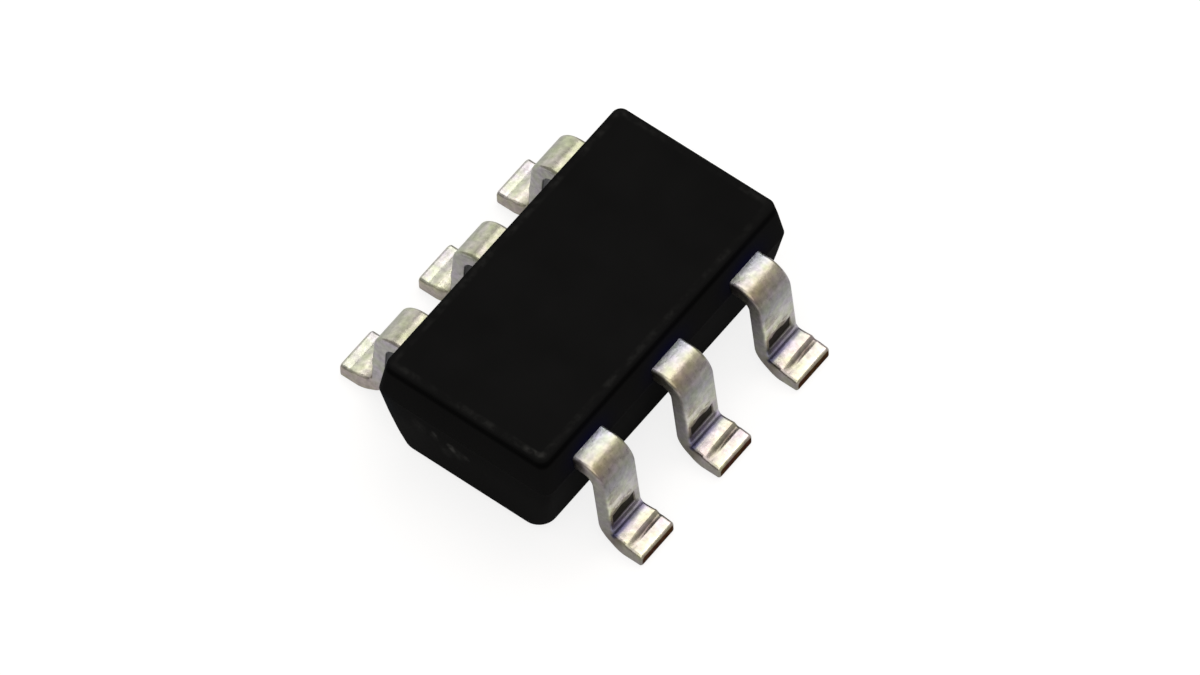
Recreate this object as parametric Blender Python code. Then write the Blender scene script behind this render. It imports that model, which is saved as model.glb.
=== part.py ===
"""Step-up converter chip: a six-lead small-outline package that stands on its solder feet.

X runs along the body, Y across it from foot to foot, Z up from the seating plane.
The sizes below are in millimetres, and MM turns them into metres as each mesh is made.
"""
import math

import bmesh
import bpy
import numpy as np

MM = 0.001

# Moulded body
BODY_LENGTH = 2.92          # at the parting line
BODY_WIDTH = 1.60           # at the parting line
STANDOFF = 0.07             # seating plane to the underside
PARTING_HEIGHT = 0.755      # seating plane to the parting line
BODY_HEIGHT = 1.11          # seating plane to the top
SIDE_DRAFT = math.radians(10)
END_DRAFT = math.radians(6)
CORNER_RADIUS_TOP = 0.06
CORNER_RADIUS_PARTING = 0.08
CORNER_RADIUS_BOTTOM = 0.15
TOP_RIM = 0.018             # rounding of the top edge
BOTTOM_RIM = 0.03           # rounding of the bottom edge
PARTING_STEP = 0.006        # how far the lower half stands proud of the upper

# Leads
LEAD_PITCH = 0.95
LEAD_WIDTH = 0.37
LEAD_THICKNESS = 0.125
LEAD_SPAN = 2.82            # toe to toe across the part
LEAD_EDGE = 0.020           # rounding of the stamped edges
SHOULDER_REACH = 0.06       # flat shoulder past the body's widest line
SHOULDER_BEND = 0.16        # bend radii of the lead's middle plane
HEEL_BEND = 0.12
TOE_BEND = 0.16
DROP_ANGLE = math.radians(85)   # slope of the down-run
HEEL_ANGLE = math.radians(28)   # slope of the run between heel and toe bend
HEEL_RUN = 0.06
TOE_ROUND = 0.035           # rounding of the foot's end, over its top and at its sides
TOE_UNDER_ROUND = 0.011     # rounding of the foot's end, underneath

# Marks that the forming tool leaves on a foot
RIDGE_LENGTH = 0.112        # cross ridge, measured along the foot
RIDGE_HEIGHT = 0.030
RIDGE_FULLNESS = 0.4        # power of the ridge's sine hump: below one is fuller
GROOVE_WIDTH = 0.030        # between ridge and pad
GROOVE_DEPTH = 0.012
CREASE_WIDTH = 0.018        # between heel and ridge
CREASE_DEPTH = 0.007
PAD_LENGTH = 0.133          # flat end of the foot
PATCH_LENGTH = 0.140        # sunk patch low on the down-run
PATCH_ABOVE_HEEL = 0.165    # from the heel bend's middle up to the patch's
PATCH_DEPTH = 0.008
PATCH_SIDE_MARGIN = 0.055   # from the lead's edges, on average
PATCH_OFFSET = 0.020        # from the lead's middle line towards -X
FOOT_SPREAD = 0.015         # how far the tool spreads the foot on each side

# Leadframe inside the body
PADDLE_END_MARGIN = 0.24    # paddle past the die's ends, with room for a bond
PADDLE_SIDE_MARGIN = 0.07   # paddle past the die's sides
PADDLE_DOWNSET = 0.12       # how far the paddle lies below the leads' plane
DOWNSET_RUN = 0.09          # length of the sloped neck that takes it down
INNER_GAP = 0.12            # between the paddle and the inner lead ends
INNER_PAD_WIDTH = 0.46
NECK_INSET = 0.08           # from the body's widest line in to the locking notch
NECK_LENGTH = 0.06          # locking notch
NECK_WIDTH = 0.27
NOTCH_RAMP = 0.03           # length over which a stamped width changes

# Die
DIE_LENGTH = 0.96
DIE_WIDTH = 0.46
DIE_THICKNESS = 0.12
ATTACH_THICKNESS = 0.015
ATTACH_MARGIN = 0.03        # fillet of adhesive round the die
BOND_PAD_INSET = 0.07       # from the die's edge to a bond

# Bond wires
WIRE_DIAMETER = 0.025
LOOP_RISE = 0.085           # from the die's top to the top of the loop
LOOP_SHOULDER = 0.45        # where the loop turns down, as a share of the wire's span
LOOP_FALL = 0.75            # height of that turn, as a share of the loop's rise
BALL_DIAMETER = 0.066
BALL_HEIGHT = 0.020
BALL_PROFILE = ((0.0, 0.75), (0.3, 1.0), (0.7, 0.9))    # shares of its height and radius
STITCH_WIDTH = 0.050        # flattened end on the lead
STITCH_HEIGHT = 0.012
STITCH_LENGTH = 0.030       # past the wire's last bend
STITCH_TAPER = 0.15         # share of the wire that flattens towards the stitch
LANDING_INSET = 0.06        # from an inner lead end to the stitch on it
LANDING_OFFSET = 0.05       # from an outer lead's middle line towards the die
BOND_SPACING = 0.12         # between two wires that share a lead
WIRE_SIDES = 8
WIRE_STEPS = 11

# Between pieces that touch on the real chip
CLEARANCE = 0.005

# How finely the round forms are cut
CORNER_STEPS = 5
RIM_STEPS = 2
BEND_STEPS = 8
RIDGE_STEPS = 4
TOE_STEPS = 2
SHORTEST_STEP = 0.0015      # two cross-sections closer than this are one

LEAD_PLANE = PARTING_HEIGHT + LEAD_THICKNESS / 2
LEAD_TOP = PARTING_HEIGHT + LEAD_THICKNESS
PADDLE_LENGTH = DIE_LENGTH + 2 * PADDLE_END_MARGIN
PADDLE_WIDTH = DIE_WIDTH + 2 * PADDLE_SIDE_MARGIN
PADDLE_TOP = LEAD_TOP - PADDLE_DOWNSET
INNER_TIP = PADDLE_WIDTH / 2 + INNER_GAP
ATTACH_BOTTOM = PADDLE_TOP + CLEARANCE
ATTACH_TOP = ATTACH_BOTTOM + ATTACH_THICKNESS
DIE_BOTTOM = ATTACH_TOP + CLEARANCE
DIE_TOP = DIE_BOTTOM + DIE_THICKNESS


def clear_scene():
    """Remove whatever the file holds."""
    for item in list(bpy.data.objects):
        bpy.data.objects.remove(item, do_unlink=True)


def make_material(name, colour, roughness, metallic):
    """A Principled material with one colour, roughness and metallic value."""
    material = bpy.data.materials.new(name)
    material.use_nodes = True
    shader = material.node_tree.nodes["Principled BSDF"]
    shader.inputs["Base Color"].default_value = (*colour, 1.0)
    shader.inputs["Roughness"].default_value = roughness
    shader.inputs["Metallic"].default_value = metallic
    return material


def add_object(name, points, faces, material=None):
    """One closed mesh object from points in millimetres, its faces turned outwards."""
    mesh = bpy.data.meshes.new(name)
    mesh.from_pydata([tuple(point) for point in np.asarray(points) * MM], [], faces)
    shape = bmesh.new()
    shape.from_mesh(mesh)
    bmesh.ops.recalc_face_normals(shape, faces=shape.faces)
    shape.to_mesh(mesh)
    shape.free()
    thing = bpy.data.objects.new(name, mesh)
    bpy.context.collection.objects.link(thing)
    if material is not None:
        mesh.materials.append(material)
    return thing


def shade_round(thing, sharp_angle):
    """Shade the mesh smooth, apart from edges sharper than the angle in degrees."""
    thing.data.shade_smooth()
    thing.data.set_sharp_from_angle(angle=math.radians(sharp_angle))


def loft(rings):
    """Points and faces of a closed skin over rings that all have the same number of points."""
    rings = np.asarray(rings)
    count, size = rings.shape[:2]
    points = rings.reshape(-1, 3)
    faces = []
    for row in range(count - 1):
        for column in range(size):
            after = (column + 1) % size
            low, high = row * size, (row + 1) * size
            faces.append((low + column, low + after, high + after, high + column))
    faces.append(tuple(range(size))[::-1])
    faces.append(tuple(range((count - 1) * size, count * size)))
    return points, faces


def rounded_ring(length, width, radius, height):
    """A rectangle with round corners, as a ring of points at one height."""
    turns = np.linspace(0, math.pi / 2, CORNER_STEPS + 1)
    corners = []
    for quarter, (side_x, side_y) in enumerate(((1, 1), (-1, 1), (-1, -1), (1, -1))):
        angles = turns + quarter * math.pi / 2
        x = side_x * (length / 2 - radius) + radius * np.cos(angles)
        y = side_y * (width / 2 - radius) + radius * np.sin(angles)
        corners.append(np.column_stack([x, y, np.full_like(x, height)]))
    return np.concatenate(corners)


def body_ring(height, corner_radius, inset=0.0):
    """The drafted body's outline at a height, pulled in by inset."""
    away = abs(height - PARTING_HEIGHT)
    length = BODY_LENGTH - 2 * (away * math.tan(END_DRAFT) + inset)
    width = BODY_WIDTH - 2 * (away * math.tan(SIDE_DRAFT) + inset)
    return rounded_ring(length, width, corner_radius - inset, height)


def rim_rings(edge_height, inward, rim, corner_radius):
    """Rings that round an edge of the body; inward is +1 at the bottom and -1 at the top."""
    rings = []
    for angle in np.linspace(0, math.pi / 2, RIM_STEPS + 1):
        height = edge_height + inward * rim * (1 - math.sin(angle))
        rings.append(body_ring(height, corner_radius, rim * (1 - math.cos(angle))))
    return rings


def make_body(material):
    """The moulded block: a loft from the underside over the parting line to the top."""
    bottom = rim_rings(STANDOFF, 1, BOTTOM_RIM, CORNER_RADIUS_BOTTOM)[::-1]
    top = rim_rings(BODY_HEIGHT, -1, TOP_RIM, CORNER_RADIUS_TOP)
    parting = [
        body_ring(PARTING_HEIGHT, CORNER_RADIUS_PARTING),
        body_ring(PARTING_HEIGHT + PARTING_STEP, CORNER_RADIUS_PARTING, PARTING_STEP),
    ]
    body = add_object("mould_body", *loft([*bottom, *parting, *top]), material)
    shade_round(body, 30)
    return body


def lead_path():
    """The lead's middle plane, as straight and round runs of (length, turn), from the centre outwards.

    The length of the down-run is what is left between the shoulder's height and the foot's.
    """
    shoulder = BODY_WIDTH / 2 + SHOULDER_REACH
    drop = LEAD_PLANE - LEAD_THICKNESS / 2
    drop -= SHOULDER_BEND * (1 - math.cos(DROP_ANGLE))
    drop -= HEEL_BEND * (math.cos(HEEL_ANGLE) - math.cos(DROP_ANGLE))
    drop -= HEEL_RUN * math.sin(HEEL_ANGLE)
    drop -= TOE_BEND * (1 - math.cos(HEEL_ANGLE))
    down_run = drop / math.sin(DROP_ANGLE)
    runs = [
        (shoulder, 0.0),
        (SHOULDER_BEND * DROP_ANGLE, DROP_ANGLE),
        (down_run, 0.0),
        (HEEL_BEND * (DROP_ANGLE - HEEL_ANGLE), HEEL_ANGLE - DROP_ANGLE),
        (HEEL_RUN, 0.0),
        (TOE_BEND * HEEL_ANGLE, -HEEL_ANGLE),
    ]
    reach = sum(run_advance(runs))
    runs.append((LEAD_SPAN / 2 - reach, 0.0))
    return runs


def run_advance(runs):
    """How far outwards each run reaches."""
    slope = 0.0
    advances = []
    for length, turn in runs:
        if turn:
            advances.append(length / turn * (math.sin(slope + turn) - math.sin(slope)))
        else:
            advances.append(length * math.cos(slope))
        slope += turn
    return advances


def path_points(runs, travelled):
    """Reach, height and downward slope of the middle plane after each travelled length."""
    travelled = np.asarray(travelled, float)
    reach = np.zeros_like(travelled)
    height = np.full_like(travelled, LEAD_PLANE)
    slope = np.zeros_like(travelled)
    start, angle = 0.0, 0.0
    for length, turn in runs:
        part = np.clip(travelled - start, 0.0, length)
        part = np.where((start == 0.0) & (travelled < 0.0), travelled, part)
        if turn:
            rate = turn / length
            reach += (np.sin(angle + rate * part) - math.sin(angle)) / rate
            height -= (math.cos(angle) - np.cos(angle + rate * part)) / rate
            slope += rate * part
        else:
            reach += part * math.cos(angle)
            height -= part * math.sin(angle)
        start += length
        angle += turn
    return reach, height, slope


def foot_marks(runs):
    """Where the forming marks lie along the path: patch, crease, ridge, groove, each as (start, end)."""
    ends = np.cumsum([length for length, _ in runs])
    total = ends[-1]
    groove = (total - PAD_LENGTH - GROOVE_WIDTH, total - PAD_LENGTH)
    ridge = (groove[0] - RIDGE_LENGTH, groove[0])
    crease = (ridge[0] - CREASE_WIDTH, ridge[0])
    patch_middle = (ends[2] + ends[3]) / 2 - PATCH_ABOVE_HEEL
    patch = (patch_middle - PATCH_LENGTH / 2, patch_middle + PATCH_LENGTH / 2)
    return patch, crease, ridge, groove, total


def lead_stations(runs, inner_stations):
    """Travelled lengths at which a lead gets a cross-section."""
    patch, crease, ridge, groove, total = foot_marks(runs)
    ends = np.cumsum([0.0] + [length for length, _ in runs])
    toe_angles = np.linspace(0, math.pi / 2, TOE_STEPS + 1)
    stations = list(inner_stations)
    stations += list(np.linspace(ends[1], ends[2], BEND_STEPS + 1))
    stations += list(np.linspace(ends[3], ends[4], BEND_STEPS + 1))
    stations += [patch[0], patch[0] + PATCH_DEPTH, patch[1] - PATCH_DEPTH, patch[1]]
    stations += [crease[0], sum(crease) / 2]
    stations += list(np.linspace(*ridge, RIDGE_STEPS + 1))
    stations += [sum(groove) / 2, groove[1]]
    stations += list(total - TOE_ROUND * (1 - np.sin(toe_angles)))
    stations = np.sort(np.array(stations))
    keep = np.concatenate([[True], np.diff(stations) > SHORTEST_STEP])
    return stations[keep]


def bump(travelled, span, power=1.0):
    """A round hump of height one over a span, and nought outside it."""
    share = np.clip((travelled - span[0]) / (span[1] - span[0]), 0.0, 1.0)
    return np.sin(math.pi * share) ** power


def lead_skin(travelled, half_width, downset, grow=0.0, marked=True):
    """The rings of a lead that runs towards -Y with its middle on X = 0.

    Each ring crosses the lead: over its top, where the marks are pressed, then round its other sides.
    """
    runs = lead_path()
    reach, height, slope = path_points(runs, travelled)
    height = height - downset
    patch, crease, ridge, groove, total = foot_marks(runs)
    edge = LEAD_EDGE
    half_thick = LEAD_THICKNESS / 2 + grow
    pressed = np.zeros_like(travelled)
    sunk = np.zeros_like(travelled)
    rounding = np.zeros_like(travelled)
    spread = np.zeros_like(travelled)
    if marked:
        near_end = np.clip((travelled - (total - TOE_ROUND)) / TOE_ROUND, 0.0, 1.0)
        rounding = 1 - np.sqrt(1 - near_end ** 2)
        spread = FOOT_SPREAD * np.interp(travelled, (crease[0], sum(ridge) / 2), (0.0, 1.0))
        pressed += RIDGE_HEIGHT * bump(travelled, ridge, RIDGE_FULLNESS)
        pressed -= GROOVE_DEPTH * bump(travelled, groove)
        pressed -= CREASE_DEPTH * bump(travelled, crease)
        patch_wall = PATCH_DEPTH / 2
        inside = (travelled > patch[0] + patch_wall) & (travelled < patch[1] - patch_wall)
        sunk = np.where(inside, PATCH_DEPTH, 0.0)
    half_width = half_width + spread + grow - TOE_ROUND * rounding
    top = half_thick + pressed - TOE_ROUND * rounding
    under = TOE_UNDER_ROUND * rounding - half_thick
    patch_left = -half_width + PATCH_SIDE_MARGIN - PATCH_OFFSET
    patch_right = half_width - PATCH_SIDE_MARGIN - PATCH_OFFSET
    columns = [
        (-half_width + edge, top),
        (patch_left, top),
        (patch_left + PATCH_DEPTH, top - sunk),
        (patch_right - PATCH_DEPTH, top - sunk),
        (patch_right, top),
        (half_width - edge, top),
        (half_width, top - edge),
        (half_width, under + edge),
        (half_width - edge, under),
        (-half_width + edge, under),
        (-half_width, under + edge),
        (-half_width, top - edge),
    ]
    rings = []
    for across, lift in columns:
        y = -(reach + lift * np.sin(slope))
        z = height + lift * np.cos(slope)
        rings.append(np.column_stack([across, y, z]))
    return np.stack(rings, axis=1)


def inner_lead_plan():
    """Stations, half-widths and downset of a separate lead's inner end, which the mould locks."""
    notch_end = BODY_WIDTH / 2 - NECK_INSET
    notch_start = notch_end - NECK_LENGTH - 2 * NOTCH_RAMP
    stations = [INNER_TIP, notch_start, notch_start + NOTCH_RAMP, notch_end - NOTCH_RAMP, notch_end]
    widths = [INNER_PAD_WIDTH, INNER_PAD_WIDTH, NECK_WIDTH, NECK_WIDTH, LEAD_WIDTH]
    return np.array(stations), np.array(widths) / 2, np.zeros(len(stations))


def paddle_lead_plan():
    """The same for the ground lead, which has the lowered die paddle at its inner end."""
    stations, widths, downset = inner_lead_plan()
    edge = PADDLE_WIDTH / 2
    neck = edge + NOTCH_RAMP
    stations = np.concatenate([[-edge, edge, neck, neck + DOWNSET_RUN], stations[2:]])
    widths = np.concatenate([np.array([PADDLE_LENGTH, PADDLE_LENGTH, NECK_WIDTH, NECK_WIDTH]) / 2, widths[2:]])
    downset = np.concatenate([[PADDLE_DOWNSET, PADDLE_DOWNSET, PADDLE_DOWNSET, 0.0], downset[2:]])
    return stations, widths, downset


def turn_half(rings):
    """The same rings after half a turn about Z, for the leads on the +Y side."""
    return rings * np.array([-1.0, -1.0, 1.0])


def lead_rings(place, far_side, plan, stations, grow=0.0, marked=True):
    """A lead's rings at its place along X, on the near or the far side."""
    plan_stations, plan_widths, plan_downset = plan
    half_width = np.interp(stations, plan_stations, plan_widths)
    downset = np.interp(stations, plan_stations, plan_downset)
    rings = lead_skin(stations, half_width, downset, grow, marked)
    if far_side:
        rings = turn_half(rings)
    return rings + np.array([place, 0.0, 0.0])


def slot_rings(place, far_side, plan):
    """The room that a lead takes inside the mould, with its clearance, cut out past the wall."""
    outside = BODY_WIDTH / 2 + SHOULDER_REACH / 2
    stations = np.append(plan[0], outside)
    stations[0] -= CLEARANCE
    return lead_rings(place, far_side, plan, stations, CLEARANCE, False)


def block(bottom_size, top_size, bottom, top):
    """Points and faces of a block over the middle of the part, whose two ends may differ in size."""
    corners = np.array([(-1, -1), (1, -1), (1, 1), (-1, 1)]) / 2
    low = np.column_stack([corners * bottom_size, np.full(4, bottom)])
    high = np.column_stack([corners * top_size, np.full(4, top)])
    return loft([low, high])


def loop_curve(span, end_height):
    """Reach and height of a wire's loop, a cubic curve from the ball's neck to the stitch.

    It leaves the ball straight up. A cubic curve with two handles lifted by one height rises three
    quarters of that height, so the handles are lifted by a third more than the loop's rise.
    """
    neck = DIE_TOP + CLEARANCE + BALL_HEIGHT
    lift = (DIE_TOP + LOOP_RISE - neck) * 4 / 3
    handles = np.array([
        (0.0, neck),
        (0.0, neck + lift),
        (LOOP_SHOULDER * span, neck + LOOP_FALL * lift),
        (span, end_height + CLEARANCE + STITCH_HEIGHT / 2),
    ])
    share = np.linspace(0, 1, WIRE_STEPS)
    left = 1 - share
    weights = np.column_stack([left ** 3, 3 * share * left ** 2, 3 * share ** 2 * left, share ** 3])
    return share, weights @ handles


def wire_rings(start, end, end_height, grow=0.0):
    """A bond wire: a squashed ball on the die, a loop and a flattened stitch on the metal.

    The wire lies in the upright plane through its two ends.
    """
    start, end = np.array(start), np.array(end)
    span = np.linalg.norm(end - start)
    forward = (end - start) / span
    share, loop = loop_curve(span, end_height)
    tangent = np.gradient(loop, axis=0)
    tangent /= np.linalg.norm(tangent, axis=1)[:, None]
    tangent[0] = (0, 1)
    tangent[-1] = (1, 0)
    flat = np.clip((share - 1) / STITCH_TAPER + 1, 0, 1)
    radius = WIRE_DIAMETER / 2
    tall = radius + flat * (STITCH_HEIGHT / 2 - radius)
    wide = radius + flat * (STITCH_WIDTH / 2 - radius)
    ball_share, ball_width = np.array(BALL_PROFILE).T
    ball_height = DIE_TOP + CLEARANCE + BALL_HEIGHT * ball_share
    ball_height[0] -= grow
    ball_radius = ball_width * BALL_DIAMETER / 2
    ball = np.column_stack([np.zeros_like(ball_height), ball_height])
    tail = loop[-1] + np.array([STITCH_LENGTH + grow, 0.0])
    path = np.vstack([ball, loop, tail])
    tangent = np.vstack([np.tile((0, 1), (len(ball), 1)), tangent, (1, 0)])
    tall = np.concatenate([ball_radius, tall, [STITCH_HEIGHT / 3]]) + grow
    wide = np.concatenate([ball_radius, wide, [STITCH_WIDTH / 2]]) + grow
    angles = np.linspace(0, 2 * math.pi, WIRE_SIDES, endpoint=False) + math.pi / WIRE_SIDES
    side = np.array([-forward[1], forward[0], 0.0])
    rings = []
    for (reach, rise), (run, climb), high, broad in zip(path, tangent, tall, wide):
        centre = np.array([*(start + forward * reach), rise])
        normal = np.array([*(-forward * climb), run])
        ring = centre + np.outer(high * np.cos(angles), normal) + np.outer(broad * np.sin(angles), side)
        rings.append(ring)
    return rings


def wire_routes():
    """What each bond wire serves, its start and end in plan, and the height of the metal it lands on."""
    pad_x = DIE_LENGTH / 2 - BOND_PAD_INSET
    pad_y = DIE_WIDTH / 2 - BOND_PAD_INSET
    land_x = LEAD_PITCH - LANDING_OFFSET
    land_y = INNER_TIP + LANDING_INSET
    paddle_x = (DIE_LENGTH + PADDLE_LENGTH) / 4
    return [
        ("lead_1", (-pad_x, -pad_y), (-land_x, -land_y), LEAD_TOP),
        ("lead_3", (pad_x, -pad_y), (land_x, -land_y), LEAD_TOP),
        ("lead_3_second", (pad_x - BOND_SPACING, -pad_y), (land_x - BOND_SPACING, -land_y), LEAD_TOP),
        ("lead_4", (pad_x, pad_y), (land_x, land_y), LEAD_TOP),
        ("lead_5", (0.0, pad_y), (0.0, land_y), LEAD_TOP),
        ("lead_6", (-pad_x, pad_y), (-land_x, land_y), LEAD_TOP),
        ("paddle", (-pad_x, 0.0), (-paddle_x, 0.0), PADDLE_TOP),
    ]


def cut(body, name, points_and_faces):
    """Take a cutter's shape out of the body with an exact Boolean."""
    cutter = add_object(name, *points_and_faces)
    cutter.hide_render = True
    cutter.display_type = "WIRE"
    modifier = body.modifiers.new(name, "BOOLEAN")
    modifier.operation = "DIFFERENCE"
    modifier.solver = "EXACT"
    modifier.object = cutter


def lead_places():
    """Name, place along X and side of each lead, numbered round the part as its pins are."""
    return [
        ("lead_1", -LEAD_PITCH, False),
        ("lead_2_with_die_paddle", 0.0, False),
        ("lead_3", LEAD_PITCH, False),
        ("lead_4", LEAD_PITCH, True),
        ("lead_5", 0.0, True),
        ("lead_6", -LEAD_PITCH, True),
    ]


def make_leads(body, material):
    """All six leads, and their slots in the body."""
    runs = lead_path()
    for name, place, far_side in lead_places():
        plan = paddle_lead_plan() if "paddle" in name else inner_lead_plan()
        stations = lead_stations(runs, plan[0])
        lead = add_object(name, *loft(lead_rings(place, far_side, plan, stations)), material)
        shade_round(lead, 40)
        cut(body, "slot_for_" + name, loft(slot_rings(place, far_side, plan)))


def make_die(body, attach_material, die_material):
    """The adhesive bed and the die on the paddle, and their pockets in the body."""
    die = np.array([DIE_LENGTH, DIE_WIDTH])
    foot = die + 2 * ATTACH_MARGIN
    add_object("die_attach", *block(foot, die, ATTACH_BOTTOM, ATTACH_TOP), attach_material)
    add_object("silicon_die", *block(die, die, DIE_BOTTOM, DIE_TOP), die_material)
    inside_paddle = PADDLE_TOP - LEAD_THICKNESS / 2
    pocket = foot + 2 * CLEARANCE
    cut(body, "pocket_for_attach", block(pocket, pocket, inside_paddle, ATTACH_TOP))
    pocket = die + 2 * CLEARANCE
    cut(body, "pocket_for_die", block(pocket, pocket, inside_paddle, DIE_TOP + CLEARANCE))


def make_wires(body, material):
    """The bond wires, and a tunnel for each in the body."""
    for target, start, end, land in wire_routes():
        wire = add_object("bond_wire_to_" + target, *loft(wire_rings(start, end, land)), material)
        shade_round(wire, 50)
        cut(body, "tunnel_to_" + target, loft(wire_rings(start, end, land, CLEARANCE)))


def make_chip():
    """Build every piece of the chip."""
    clear_scene()
    epoxy = make_material("black_epoxy", (0.008, 0.008, 0.009), 0.42, 0.0)
    tin = make_material("matte_tin", (0.62, 0.61, 0.58), 0.32, 1.0)
    silver_adhesive = make_material("silver_adhesive", (0.42, 0.42, 0.40), 0.6, 0.4)
    silicon = make_material("silicon", (0.13, 0.14, 0.17), 0.18, 0.6)
    gold = make_material("gold", (0.85, 0.58, 0.18), 0.25, 1.0)
    body = make_body(epoxy)
    make_leads(body, tin)
    make_die(body, silver_adhesive, silicon)
    make_wires(body, gold)


make_chip()
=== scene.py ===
# %% [markdown]
# # A step-up converter chip
# The real thing is three millimetres long: a block of black epoxy with three formed leads along
# each long side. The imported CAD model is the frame. It stays where it is, and this lesson gives it
# its looks: finer surfaces for what shows, and a finish for every piece.

# %% Load the frame
import math

import bmesh
import bpy
import numpy as np
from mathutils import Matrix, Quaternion, Vector


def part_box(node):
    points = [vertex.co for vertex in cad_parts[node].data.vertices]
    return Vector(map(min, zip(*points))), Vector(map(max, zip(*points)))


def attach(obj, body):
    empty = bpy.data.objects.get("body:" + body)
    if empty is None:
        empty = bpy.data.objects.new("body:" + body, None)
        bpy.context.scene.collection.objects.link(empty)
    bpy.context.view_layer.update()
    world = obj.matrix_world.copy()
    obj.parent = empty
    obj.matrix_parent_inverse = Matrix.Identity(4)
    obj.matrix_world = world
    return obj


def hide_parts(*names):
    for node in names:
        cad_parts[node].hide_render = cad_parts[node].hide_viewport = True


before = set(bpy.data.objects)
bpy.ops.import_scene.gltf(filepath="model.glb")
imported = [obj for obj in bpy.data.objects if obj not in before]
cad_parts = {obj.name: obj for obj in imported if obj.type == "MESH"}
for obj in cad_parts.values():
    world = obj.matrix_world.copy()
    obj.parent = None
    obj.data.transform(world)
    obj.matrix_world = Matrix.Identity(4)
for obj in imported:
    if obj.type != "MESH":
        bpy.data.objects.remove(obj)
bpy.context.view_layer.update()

MM = 0.001

# %% [markdown]
# ## Camera
# The photograph was taken from far away with a long lens, so that the block's long edges run
# almost parallel. A wide lens close by would spread them. The camera could be placed by eye, but
# here its direction, distance and lens come from the corners of the body and the leads' pitch of
# 0.95 mm, so every edge falls where the photograph has it.

# %% Place the camera
AIM_MM = Vector((-0.015, -0.170, 0.55))     # the point of the chip at the middle of the picture
VIEW_AZIMUTH = math.radians(-50.61)
VIEW_ELEVATION = math.radians(57.23)
VIEW_ROLL = math.radians(-2.34)
VIEW_DISTANCE_MM = 109.9
LENS_MM = 447.0
SENSOR_MM = 36.0
CLIP_END = 10.0             # metres


def direction(azimuth, elevation):
    """The unit vector towards a place seen at that azimuth and elevation, as the views count them."""
    flat = math.cos(elevation)
    return Vector((math.sin(azimuth) * flat, -math.cos(azimuth) * flat, math.sin(elevation)))


def place_camera():
    """A camera that looks at the aim from its direction and distance, turned by its roll."""
    camera = bpy.data.objects.new("camera", bpy.data.cameras.new("camera"))
    bpy.context.scene.collection.objects.link(camera)
    back = direction(VIEW_AZIMUTH, VIEW_ELEVATION)
    camera.location = (AIM_MM + VIEW_DISTANCE_MM * back) * MM
    camera.rotation_mode = "QUATERNION"
    camera.rotation_quaternion = (-back).to_track_quat("-Z", "Y") @ Quaternion((0, 0, 1), VIEW_ROLL)
    camera.data.sensor_width = SENSOR_MM
    camera.data.lens = LENS_MM
    camera.data.clip_start = MM
    camera.data.clip_end = CLIP_END
    bpy.context.scene.camera = camera
    return camera


camera = place_camera()
print("camera at", [round(value / MM, 1) for value in camera.location], "mm")

# %% [markdown]
# ## Colours and nodes
# Colours are written as they are read from a screen, in sRGB hex, and one function turns them to
# the linear values that a shader wants. One more function adds a node with its settings and links.
# Noise keeps mostly between 0.3 and 0.7, so it is spread over a wider range before it is used.

# %% Helpers for materials
MIX_FACTOR, MIX_A, MIX_B, MIX_RESULT = 0, 6, 7, 2


def linear(code):
    """A colour such as #8090A0 as linear red, green, blue and an alpha of one.

    Dark values are divided by 12.92. The others are shifted, scaled and raised to the power 2.4.
    """
    parts = np.array([int(code[i:i + 2], 16) for i in (1, 3, 5)]) / 255
    curve = np.where(parts <= 0.04045, parts / 12.92, ((parts + 0.055) / 1.055) ** 2.4)
    return (*curve, 1.0)


def add_node(tree, kind, settings=None, inputs=None):
    """Add a node; an input is a plain value, or another node's output that gets linked to it."""
    made = tree.nodes.new("ShaderNode" + kind)
    for name, value in (settings or {}).items():
        setattr(made, name, value)
    for name, value in (inputs or {}).items():
        if isinstance(value, bpy.types.NodeSocket):
            tree.links.new(value, made.inputs[name])
        else:
            made.inputs[name].default_value = value
    return made


def new_material(name, **values):
    """A material whose Principled shader has these values; returns it with its tree and shader."""
    material = bpy.data.materials.new(name)
    material.use_nodes = True
    shader = material.node_tree.nodes["Principled BSDF"]
    for socket, value in values.items():
        shader.inputs[socket.replace("_", " ")].default_value = value
    return material, material.node_tree, shader


def blend_colour(tree, factor, first, second, way="MIX"):
    """The output of a node that goes from the first colour to the second as the factor rises."""
    mix = add_node(tree, "Mix", {"data_type": "RGBA", "blend_type": way},
                   {MIX_FACTOR: factor, MIX_A: first, MIX_B: second})
    return mix.outputs[MIX_RESULT]


def calculate(tree, way, first, second):
    """The output of a sum, product or other calculation with two numbers."""
    return add_node(tree, "Math", {"operation": way}, {0: first, 1: second}).outputs[0]


def noise(tree, place, size_mm, detail=2.0, roughness=0.5, output="Fac"):
    """Noise whose blotches measure about size_mm; place is the output with the coordinates."""
    made = add_node(tree, "TexNoise", None, {"Vector": place, "Scale": 1 / (size_mm * MM),
                                             "Detail": detail, "Roughness": roughness})
    return made.outputs[output]


def spread(tree, value, low, high, low_out=0.0, high_out=1.0):
    """The value, stretched so that low becomes low_out and high becomes high_out, and clamped."""
    made = add_node(tree, "MapRange", None, {"Value": value, "From Min": low, "From Max": high,
                                             "To Min": low_out, "To Max": high_out})
    return made.outputs["Result"]


def read(tree, name, output="Fac"):
    """The output that gives a number, or with output Color a colour, stored on the mesh."""
    return add_node(tree, "Attribute", {"attribute_name": name}).outputs[output]


print("a mid grey of #808080 is", round(linear("#808080")[0], 3), "in linear light")

# %% [markdown]
# ## Surfaces from rings
# Both the moulded block and the leads are skins over rings: a closed outline that is carried
# along and changes its size on the way. Blender could loft them with curves or the Skin modifier,
# but a ring computed as a whole array keeps every radius exact, and a mark such as a ridge is one
# term of its formula.

# %% Skin a stack of rings


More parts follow.
